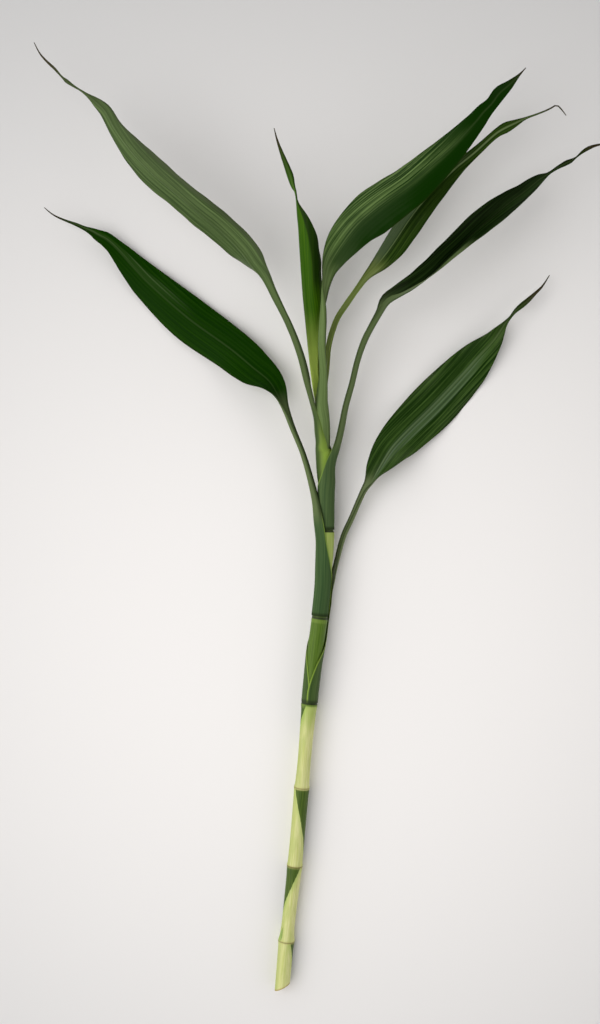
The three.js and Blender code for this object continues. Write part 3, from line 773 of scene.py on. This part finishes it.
# Dark patches of the cane: y of the node that each hangs from, towards the cut end; the angle of
# its edge there; degrees that the edge turns per millimetre; and the side of the edge that is dark
CANE_PATCHES = [
    [-102.8, 112, 5, 1],
    [-150.2, 147, -3.9, -1],
    [-193.8, 42, 4.9, 1],
    [-236.9, 60, -4.5, -1],
]
PATCH_TOP = (0.3, -0.2)  # from the node
PATCH_FOOT = (-42, -38)
PATCH_EDGE = (-1.5, 4.0)  # degrees over the edge
PATCH_RAGGEDNESS = 14.0  # degrees
BESIDE_PATCH = ((-40.0, -1.5), 0.4, (146, 176, 72))  # greener skin, by the same degrees

# Shades of the nodes, by the distance from each
CANE_NODES = [-236.6, -193.8, -149.5]
NODE_GLOW = ((1.6, 0.4), 0.35, (176, 172, 104))
NODE_LINE = ((0.55, 0.2), 0.6, (104, 88, 44))
WRAPPED_NODES = [-103, -55, -6.2]  # those that a leaf's wrapped base stands on
WRAPPED_GLOW = ((1.8, 0.6), 0.25, (140, 164, 74))
WRAPPED_RING_BEGINS = (0.6, 1.2)  # a dark ring above the node
WRAPPED_RING_ENDS = (3.5, 1.6)
WRAPPED_RING_TONE = (40, 54, 26)

# The cut end: a tan rim round pale fibrous wood
CUT_RIM = ((-261.4, -262.4), 0.7, (150, 118, 66))  # y
WOOD_GRAIN = (0.4, 30.0, 0.0)
WOOD_BEGINS = (0.02, 0.2)
WOOD = ((168, 140, 88), (212, 200, 150))
CANE_ROUGHNESS = (0.42, 0.16)  # the least, and what the fibres add
WOOD_ROUGHNESS = 0.3
GRAIN_IN_BUMP = 0.4
CANE_BUMP = (0.3, 0.15)
CANE_SPECULAR = 0.25

BUD_SKIN = ((146, 172, 80), (114, 146, 58))  # from its foot to its tip
BUD_TIP = ((0.85, 1.0), 0.7, (110, 84, 44))
BUD_SPOTS = (6.0, 0.3, 0.2)  # scale along, and the place across and the depth of the noise
BUD_SPOT_SHARE = 0.3
BUD_SPOT_TONE = (160, 176, 90)
BUD_ROUGHNESS = 0.45
BUD_BUMP = (0.2, 0.1)

BOARD_TONES = ((246, 243, 241), (188, 188, 188))  # the board's own tone at its middle, and the painted shade of the light's falloff outwards
BOARD_ROUGHNESS = 0.85
BOARD_SPECULAR = 0.2

# How each leaf looks. Where not given, the side share of painted light and faint are 0, and strip
# is none.
# face, back, base: the tone, and the tone of its light lines. The base's are the stalk's too.
# pleats, rib: how strong the painted highlight on the pleats' ridges is, and how far the midrib
# stands out
# dry: length of the dry tip
# gloss: strength of the reflections
# young: how far along the leaf it is still pale, and how pale
# side share of painted light: how far the light lines fade on the right half and towards the tip
# as painted shade, or grow there as painted highlight, below 0
# margin: where across the base its wide pale edge begins, and how far along the leaf it reaches
# opens: how far along the leaf its base begins to turn into the stalk
# faint: how faint the pale line along the base's left edge is
# stalk: how grey the stalk is
# strip: a band of another tone on one half of the blade, on some leaves a painted highlight and on
# others painted shade: the side of the midrib; where it begins and ends across; its step along the
# leaf; its share; how far it keeps to the ridges; its tone
LEAF_LOOKS = {
    "leaf_lower_right": dict(
        face=((12, 40, 0), (58, 84, 34)), back=((44, 64, 24), (68, 88, 44)),
        base=((40, 64, 26), (76, 98, 50)), pleats=0.45, rib=0.25, dry=26, gloss=0.16,
        # Its light lines grow on the right half and towards the tip: painted highlight
        young=(120, 0.15), painted_light_side=-0.6, margin=(0.93, 60), opens=62, faint=0.8, stalk=0.8,
        # Its strip is a painted highlight: a grey band of reflection along the middle of the blade
        strip=(1, (-0.16, 0.3), (236, 212), 0.6, 0.6, (98, 118, 88)),
    ),
    "leaf_lower_left": dict(
        face=((10, 44, 0), (24, 58, 2)), back=((44, 66, 24), (68, 88, 42)),
        base=((42, 66, 38), (72, 96, 56)), pleats=0.3, rib=0.1, dry=16, gloss=0.03,
        young=(140, 0.15), margin=(0.93, 40), opens=48, stalk=0.75,
        # Its strip is a painted highlight along the upper half of the blade
        strip=(1, (0.04, 0.4), (190, 225), 0.55, 0.8, (76, 96, 58)),
    ),
    "leaf_right": dict(
        # Its face's tone, darker than the other leaves' faces, is painted shade of the half that
        # faces away from the light
        face=((4, 16, 1), (36, 56, 22)), back=((50, 70, 30), (92, 110, 68)),
        base=((52, 74, 44), (82, 102, 60)), pleats=0.4, rib=0.1, dry=20, gloss=0.04,
        young=(150, 0.1), margin=(0.9, 36), opens=40, stalk=0.6,
        # Its strip is the paler back of the lower half, with painted light on it
        strip=(1, (0.38, 2), (190, 175), 0.9, 0, (92, 110, 68)),
    ),
    "leaf_upper_left": dict(
        face=((20, 46, 4), (40, 70, 14)), back=((38, 60, 20), (84, 106, 58)),
        base=((40, 62, 20), (68, 90, 40)), pleats=0.7, rib=0.2, dry=30, gloss=0.25,
        young=(230, 0.2), margin=(0.2, 52), opens=50, stalk=0.3,
        strip=(-1, (0.7, 2), (110, 150), 0.7, 0, (46, 58, 34)),
    ),
    "leaf_top_right": dict(
        # The light lines of its face are painted highlight, strongest on the left half; their
        # fading on the right half and towards the tip is painted shade
        face=((10, 42, 0), (98, 122, 68)), back=((50, 70, 28), (76, 96, 46)),
        base=((80, 100, 54), (112, 134, 80)), pleats=0.7, rib=0.1, dry=8, gloss=0.08,
        young=(150, 0.4), painted_light_side=1, margin=(0.75, 50), opens=60, stalk=0.1,
    ),
    "leaf_behind": dict(
        face=((16, 42, 0), (58, 84, 26)), back=((56, 78, 32), (80, 100, 50)),
        base=((88, 104, 42), (118, 134, 70)), pleats=0.4, rib=0.9, dry=22, gloss=0.15,
        young=(122, 0.45), margin=(0.8, 40), opens=90, stalk=0.1,
        # Its strip is painted shade: the left half, darkened where the leaf above shades it
        strip=(-1, (0.06, 2), (180, 155), 0.7, 0, (84, 104, 70)),
    ),
    "leaf_centre": dict(
        face=((10, 34, 0), (24, 56, 0)), back=((40, 78, 0), (64, 102, 2)),
        base=((140, 176, 52), (188, 212, 96)), pleats=0.2, rib=0.2, dry=16, gloss=0.1,
        young=(76, 0.85), margin=(0.93, 20), opens=200, stalk=0,
        # Its strip is painted shade: the right part of the rolled blade, which turns away from the
        # light
        strip=(-1, (0.5, 2), (74, 92), 0.85, 0, (10, 32, 0)),
    ),
}


# ---- Materials ----
def srgb(r, g, b):
    """A tone as the shader's linear colour."""

    def linear(v):
        v /= 255
        return v / 12.92 if v <= 0.04045 else ((v + 0.055) / 1.055) ** 2.4

    return (linear(r), linear(g), linear(b), 1)


class Graph:
    """The nodes of a material or a world, made one call at a time."""

    def __init__(self, owner):
        owner.use_nodes = True
        self.owner, self.tree = owner, owner.node_tree

    def put(self, target, value):
        if isinstance(value, bpy.types.NodeSocket):
            self.tree.links.new(value, target)
        else:
            target.default_value = value

    def attribute(self, name):
        node = self.tree.nodes.new("ShaderNodeAttribute")
        node.attribute_name = name
        return node.outputs["Fac"]

    def place(self, output):
        """The place of a point, or the direction of a world's light, as x, y and z."""
        spread = self.tree.nodes.new("ShaderNodeSeparateXYZ")
        self.put(spread.inputs[0], self.tree.nodes.new("ShaderNodeTexCoord").outputs[output])
        return spread.outputs

    def math(self, operation, a, b=0.0):
        node = self.tree.nodes.new("ShaderNodeMath")
        node.operation = operation
        self.put(node.inputs[0], a)
        self.put(node.inputs[1], b)
        return node.outputs[0]

    def add(self, a, b):
        return self.math("ADD", a, b)

    def less(self, a, b):
        return self.math("SUBTRACT", a, b)

    def times(self, product, *others):
        for other in others:
            product = self.math("MULTIPLY", product, other)
        return product

    def size(self, a):
        return self.math("ABSOLUTE", a)

    def rest(self, a):
        return self.less(1.0, a)

    def step(self, value, low, high):
        """0 at low and 1 at high, smooth between, whichever of the two is larger."""
        node = self.tree.nodes.new("ShaderNodeMapRange")
        node.interpolation_type = "SMOOTHSTEP"
        self.put(node.inputs["Value"], value)
        node.inputs["From Min"].default_value = min(low, high)
        node.inputs["From Max"].default_value = max(low, high)
        node.inputs["To Min"].default_value = float(low > high)
        node.inputs["To Max"].default_value = float(low < high)
        return node.outputs["Result"]

    def noise(self, x, y=0.0, z=0.0, detail=3.0, roughness=0.5):
        place = self.tree.nodes.new("ShaderNodeCombineXYZ")
        for socket, value in zip(place.inputs, (x, y, z)):
            self.put(socket, value)
        node = self.tree.nodes.new("ShaderNodeTexNoise")
        self.put(node.inputs["Vector"], place.outputs[0])
        node.inputs["Scale"].default_value = 1.0
        node.inputs["Detail"].default_value = detail
        node.inputs["Roughness"].default_value = roughness
        return node.outputs["Fac"]

    def grain(self, across, along, scales, detail=3.0, roughness=0.5):
        """Noise that is stretched along a leaf or the cane."""
        x, y = self.times(across, scales[0]), self.times(along, scales[1])
        return self.noise(x, y, scales[2], detail, roughness)

    def mix(self, share, a, b):
        node = self.tree.nodes.new("ShaderNodeMix")
        node.data_type = "RGBA"
        colours = [socket for socket in node.inputs if socket.type == "RGBA"]
        self.put(node.inputs["Factor"], share)
        self.put(colours[0], a)
        self.put(colours[1], b)
        return next(socket for socket in node.outputs if socket.type == "RGBA")

    def blend(self, share, tones):
        """From the first of two tones to the second."""
        return self.mix(share, srgb(*tones[0]), srgb(*tones[1]))

    def paint(self, share, colour, tone):
        """A colour with a share of a tone over it."""
        return self.mix(share, colour, srgb(*tone))

    def shade(self, value, colour, shade, *within):
        """A colour with a tone over it, where the value is past the shade's step."""
        step, share, tone = shade
        return self.paint(self.times(self.step(value, *step), *within, share), colour, tone)

    def bump(self, height, strength, distance):
        node = self.tree.nodes.new("ShaderNodeBump")
        node.inputs["Strength"].default_value = strength
        node.inputs["Distance"].default_value = distance * MM
        self.put(node.inputs["Height"], height)
        return node.outputs["Normal"]

    def finish(self, colour, roughness, normal=None, specular=0.5, tint=(1, 1, 1, 1)):
        shader = self.tree.nodes["Principled BSDF"]
        self.put(shader.inputs["Base Color"], colour)
        self.put(shader.inputs["Roughness"], roughness)
        if normal is not None:
            self.put(shader.inputs["Normal"], normal)
        shader.inputs["Specular IOR Level"].default_value = specular
        shader.inputs["Specular Tint"].default_value = tint
        return self.owner


def blade_colour(g, at, look, streaks, veins):
    """The face and the back: lengthwise bands, light veins, painted highlight on the ridges,
    painted light and shade by side, and slow patches.
    """
    bands = g.grain(at["offset"], at["along"], LEAF_BANDS, detail=1.0)
    patches = g.grain(at["offset"], at["along"], LEAF_PATCHES)
    # Painted light: on the right half and towards the tip, a leaf's light lines fade as painted
    # shade, or grow as painted highlight where its side share is below 0
    painted_light_zone = g.math("MAXIMUM", g.step(at["across"], *PAINTED_LIGHT_HALF), g.step(at["to_tip"], *PAINTED_LIGHT_TIP))
    painted_light = g.rest(g.times(painted_light_zone, look.get("painted_light_side", 0)))
    mottle = g.add(g.times(streaks, STREAKS_IN_MOTTLE), g.times(bands, BANDS_IN_MOTTLE))
    tone = g.times(g.step(mottle, *MOTTLE_STEP), painted_light)
    lines = g.times(g.step(veins, *VEIN_STEP), VEIN_SHARE, painted_light)
    # Painted highlight: light lines along the pleats' ridges, half as strong on the back
    crest_highlight = g.times(g.step(at["ridge"], *CREST_HIGHLIGHT_STEP), g.step(streaks, *CREST_HIGHLIGHT_STREAKS))
    crest_highlight = g.times(crest_highlight, look["pleats"], painted_light)
    (face, face_light), (back, back_light) = look["face"], look["back"]
    top = g.paint(g.add(lines, crest_highlight), g.blend(tone, look["face"]), face_light)
    lines_below = g.add(lines, g.times(crest_highlight, CREST_HIGHLIGHT_ON_BACK))
    under = g.paint(lines_below, g.blend(tone, look["back"]), back_light)
    colour = g.mix(at["upper"], under, top)
    plain = g.blend(at["upper"], (back, face))
    return g.mix(g.times(g.step(patches, *PATCH_STEP), PATCH_SHARE), colour, plain)


def add_young(g, at, look, colour):
    """Paler near the base."""
    reach, share = look["young"]
    young = g.times(g.step(at["along"], reach, reach * YOUNG_FADE), share)
    return g.paint(young, colour, look["base"][1])


def add_strip(g, at, strip, colour):
    """A band of another tone along one half of the blade: painted highlight on some leaves,
    painted shade on others.
    """
    side, (start, end), reach, share, lined, tone = strip
    out = g.times(at["across"], side)
    band = g.times(g.step(out, start, start + STRIP_FADE), g.step(out, end + STRIP_FADE, end))
    furrows = g.times(g.rest(g.step(at["ridge"], *FURROW_STEP)), lined)
    band = g.times(band, g.rest(furrows), g.step(at["along"], *reach), share)
    return g.paint(band, colour, tone)


def add_base(g, at, look, streaks, edge, colour):
    """The wrapped base with its pale edges, and the stalk, greyer, with painted shade along its
    edges.
    """
    wrapped = g.rest(at["blade"])
    narrow = g.blend(g.step(streaks, *BASE_STREAKS), look["base"])
    open_stalk = g.step(at["along"], look["opens"], look["opens"] * STALK_FADE)
    narrow = g.paint(g.times(open_stalk, look["stalk"]), narrow, STALK_TONE)
    # Painted shade along the stalk's edges
    narrow = g.shade(edge, narrow, STALK_EDGE_PAINTED_SHADE, open_stalk)
    colour = g.mix(wrapped, colour, narrow)
    begins, reach = look["margin"]
    wide = g.step(edge, begins, min(begins + MARGIN_FADE, MARGIN_END))
    wide = g.times(wide, g.step(at["along"], reach, reach * MARGIN_FADE_ALONG))
    seen = g.rest(g.times(g.step(at["across"], *LEFT_HALF), look.get("faint", 0)))
    below_stalk = g.times(g.rest(open_stalk), THIN_EDGE_SHARE)
    thin = g.times(g.step(edge, *THIN_EDGE), seen, below_stalk)
    pale_edge = g.times(g.math("MAXIMUM", wide, thin), g.times(wrapped, PALE_EDGE_SHARE))
    colour = g.paint(pale_edge, colour, PALE_EDGE_TONE)
    return g.shade(at["along"], colour, FOOT)


def add_rim_and_tip(g, at, edge, dry, dried, colour):
    """The thin dark rim round the blade, and the tip, first wilted and then dry."""
    colour = g.shade(edge, colour, BLADE_RIM, at["blade"])
    wilted = g.step(at["to_tip"], WILTED_STEP[0] * dry, WILTED_STEP[1] * dry)
    colour = g.paint(g.times(wilted, WILTED_SHARE), colour, WILTED_TONE)
    return g.paint(g.times(dried, DRY_SHARE), colour, DRY_TONE)


def leaf_material(name, look):
    """A leaf: glossy face, paler matt back, wrapped base with pale edges, dry dark tip."""
    g = Graph(bpy.data.materials.new(name))
    at = {fact: g.attribute(fact) for fact in (*LEAF_FACTS, "upper")}
    edge, upper = g.size(at["across"]), at["upper"]
    streaks = g.grain(at["offset"], at["along"], LEAF_STREAKS, detail=4.0, roughness=0.65)
    veins = g.grain(at["offset"], at["along"], LEAF_VEINS, detail=1.0)
    colour = blade_colour(g, at, look, streaks, veins)
    colour = add_young(g, at, look, colour)
    if "strip" in look:
        colour = add_strip(g, at, look["strip"], colour)
    midrib = g.step(g.size(at["offset"]), *RIB_STEP)
    colour = g.paint(g.times(midrib, look["rib"]), colour, RIB_TONE)
    colour = add_base(g, at, look, streaks, edge, colour)
    dried = g.step(at["to_tip"], look["dry"], look["dry"] * DRY_FADE)
    colour = add_rim_and_tip(g, at, edge, look["dry"], dried, colour)
    shiny = g.add(FACE_ROUGHNESS[0], g.times(streaks, FACE_ROUGHNESS[1]))
    matt = g.add(BACK_ROUGHNESS[0], g.times(streaks, BACK_ROUGHNESS[1]))
    rough = g.add(g.times(upper, shiny), g.times(g.rest(upper), matt))
    rough = g.add(rough, g.times(dried, DRY_ROUGHNESS))
    normal = g.bump(g.add(veins, g.times(streaks, STREAKS_IN_BUMP)), *LEAF_BUMP)
    return g.finish(colour, rough, normal, look["gloss"], LEAF_GLOSS)


def skin_colour(g, along, angle, thread):
    """The cane's skin: pale below, green under the wrapped bases, paler again further up."""
    clouds = g.grain(angle, along, CANE_CLOUDS)
    pale = g.shade(clouds, g.blend(thread, CANE_PALE), CLOUD_SHADE)
    pale = g.shade(angle, pale, LEFT_SHADE)
    pale = g.shade(along, pale, UPPER_SHADE)
    colour = g.mix(g.step(along, *GREEN_BEGINS), pale, g.blend(thread, CANE_GREEN))
    return g.mix(g.step(along, *YOUNG_BEGINS), colour, g.blend(thread, CANE_YOUNG))


def add_patch(g, along, angle, fibres, patch, dark, colour):
    """A dark patch under a node, with a ragged edge, and greener skin beside it."""
    y, start, turn, side = patch
    edge = g.add(start, g.times(g.less(y, along), turn))
    ragged = g.times(g.less(fibres, 0.5), PATCH_RAGGEDNESS)
    over = g.times(g.add(g.less(angle, edge), ragged), side)
    under_node = g.step(along, y + PATCH_TOP[0], y + PATCH_TOP[1])
    foot = g.step(along, y + PATCH_FOOT[0], y + PATCH_FOOT[1])
    colour = g.shade(over, colour, BESIDE_PATCH, under_node, foot)
    return g.mix(g.times(g.step(over, *PATCH_EDGE), under_node, foot), colour, dark)


def add_nodes(g, along, colour):
    """The brown lines of the bare nodes, and the dark rings of the wrapped ones."""
    for y in CANE_NODES:
        near = g.size(g.less(along, y))
        colour = g.shade(near, colour, NODE_GLOW)
        colour = g.shade(near, colour, NODE_LINE)
    for y in WRAPPED_NODES:
        colour = g.shade(g.size(g.less(along, y)), colour, WRAPPED_GLOW)
        begins = g.step(along, y + WRAPPED_RING_BEGINS[0], y + WRAPPED_RING_BEGINS[1])
        ends = g.step(along, y + WRAPPED_RING_ENDS[0], y + WRAPPED_RING_ENDS[1])
        colour = g.paint(g.times(begins, ends), colour, WRAPPED_RING_TONE)
    return colour


def cane_material():
    g = Graph(bpy.data.materials.new("cane_skin"))
    along, angle, cut = g.attribute("along"), g.attribute("angle"), g.attribute("cut")
    fibres = g.grain(angle, along, CANE_FIBRES, detail=4.0, roughness=0.6)
    thread = g.step(fibres, *CANE_THREADS)
    colour = skin_colour(g, along, angle, thread)
    dark = g.blend(thread, CANE_DARK)
    for patch in CANE_PATCHES:
        colour = add_patch(g, along, angle, fibres, patch, dark, colour)
    colour = add_nodes(g, along, colour)
    colour = g.shade(along, colour, CUT_RIM)
    grain = g.grain(angle, cut, WOOD_GRAIN, detail=2.0, roughness=0.6)
    wood = g.step(cut, *WOOD_BEGINS)
    colour = g.mix(wood, colour, g.blend(grain, WOOD))
    rough = g.add(CANE_ROUGHNESS[0], g.times(fibres, CANE_ROUGHNESS[1]))
    rough = g.add(rough, g.times(wood, WOOD_ROUGHNESS))
    normal = g.bump(g.add(fibres, g.times(grain, GRAIN_IN_BUMP)), *CANE_BUMP)
    return g.finish(colour, rough, normal, CANE_SPECULAR, LEAF_GLOSS)


def bud_material():
    g = Graph(bpy.data.materials.new("bud_skin"))
    along = g.attribute("along")
    spots = g.noise(g.times(along, BUD_SPOTS[0]), BUD_SPOTS[1], BUD_SPOTS[2])
    colour = g.shade(along, g.blend(along, BUD_SKIN), BUD_TIP)
    colour = g.paint(g.times(spots, BUD_SPOT_SHARE), colour, BUD_SPOT_TONE)
    return g.finish(colour, BUD_ROUGHNESS, g.bump(spots, *BUD_BUMP))


def floor_material():
    """A pale board with painted shade: a little greyer away from its middle, where the light falls
    off.
    """
    g = Graph(bpy.data.materials.new("floor_board"))
    x, y, _ = g.place("Object")
    x, y = g.less(x, BOARD_MIDDLE[0]), g.less(y, BOARD_MIDDLE[1])
    away = g.math("SQRT", g.add(g.times(x, x), g.times(y, y)))
    colour = g.blend(g.step(away, *BOARD_PAINTED_FALLOFF), BOARD_TONES)
    return g.finish(colour, BOARD_ROUGHNESS, specular=BOARD_SPECULAR)


# ---- Floor, light and camera ----
def add_floor():
    reach = (-BOARD_SIZE, BOARD_SIZE)
    verts = [Vector((x, y, -BOARD_DEPTH)) for x in reach for y in reach]
    floor = mesh_object("floor", verts, [(0, 2, 3, 1)])
    floor.data.materials.append(floor_material())


def add_window():
    """A broad soft light from the left, turned to the stem."""
    light = bpy.data.lights.new("window", "AREA")
    light.shape, light.size, light.size_y = "RECTANGLE", *WINDOW_SIZE
    light.energy = WINDOW_POWER
    lamp = bpy.data.objects.new("window", light)
    lamp.location = WINDOW_PLACE
    lamp.rotation_euler = (-Vector(WINDOW_PLACE)).to_track_quat("-Z", "Y").to_euler()
    bpy.context.scene.collection.objects.link(lamp)


def add_world():
    """Soft light from all round, dark overhead, so that the leaves keep their colour."""
    g = Graph(bpy.data.worlds.new("studio"))
    x, _, z = g.place("Generated")
    side = g.add(SKY_RIGHT, g.times(g.step(x, *SKY_SIDES), SKY_LEFT - SKY_RIGHT))
    strength = g.add(SKY_TOP, g.times(g.step(z, *SKY_HEIGHTS), side))
    sky = g.tree.nodes["Background"]
    sky.inputs["Color"].default_value = SKY_COLOUR
    g.put(sky.inputs["Strength"], strength)
    bpy.context.scene.world = g.owner


def add_light():
    add_window()
    add_world()
    bpy.context.scene.view_settings.view_transform = "Standard"


def add_camera():
    lens = bpy.data.cameras.new("camera")
    lens.lens, lens.sensor_width = CAMERA_LENS, CAMERA_SENSOR
    camera = bpy.data.objects.new("camera", lens)
    camera.location = (*CAMERA_PLACE, CAMERA_HEIGHT)
    bpy.context.scene.collection.objects.link(camera)
    bpy.context.scene.camera = camera


# ---- The stem and its leaves ----
def dress(piece, material, node=None):
    """Gives a piece its material and body, and hides the CAD node that it stands for."""
    piece.data.materials.append(material)
    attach(piece, "root")
    if node:
        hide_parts(node)


add_camera()
add_floor()
add_light()
dress(cane_piece(), cane_material(), "stem")
dress(bud_piece(), bud_material())
for name, leaf in LEAVES.items():
    material = leaf_material(name + "_skin", LEAF_LOOKS[name])
    piece = leaf_piece(name.replace("leaf", "foliage"), leaf)
    dress(piece, material, name)
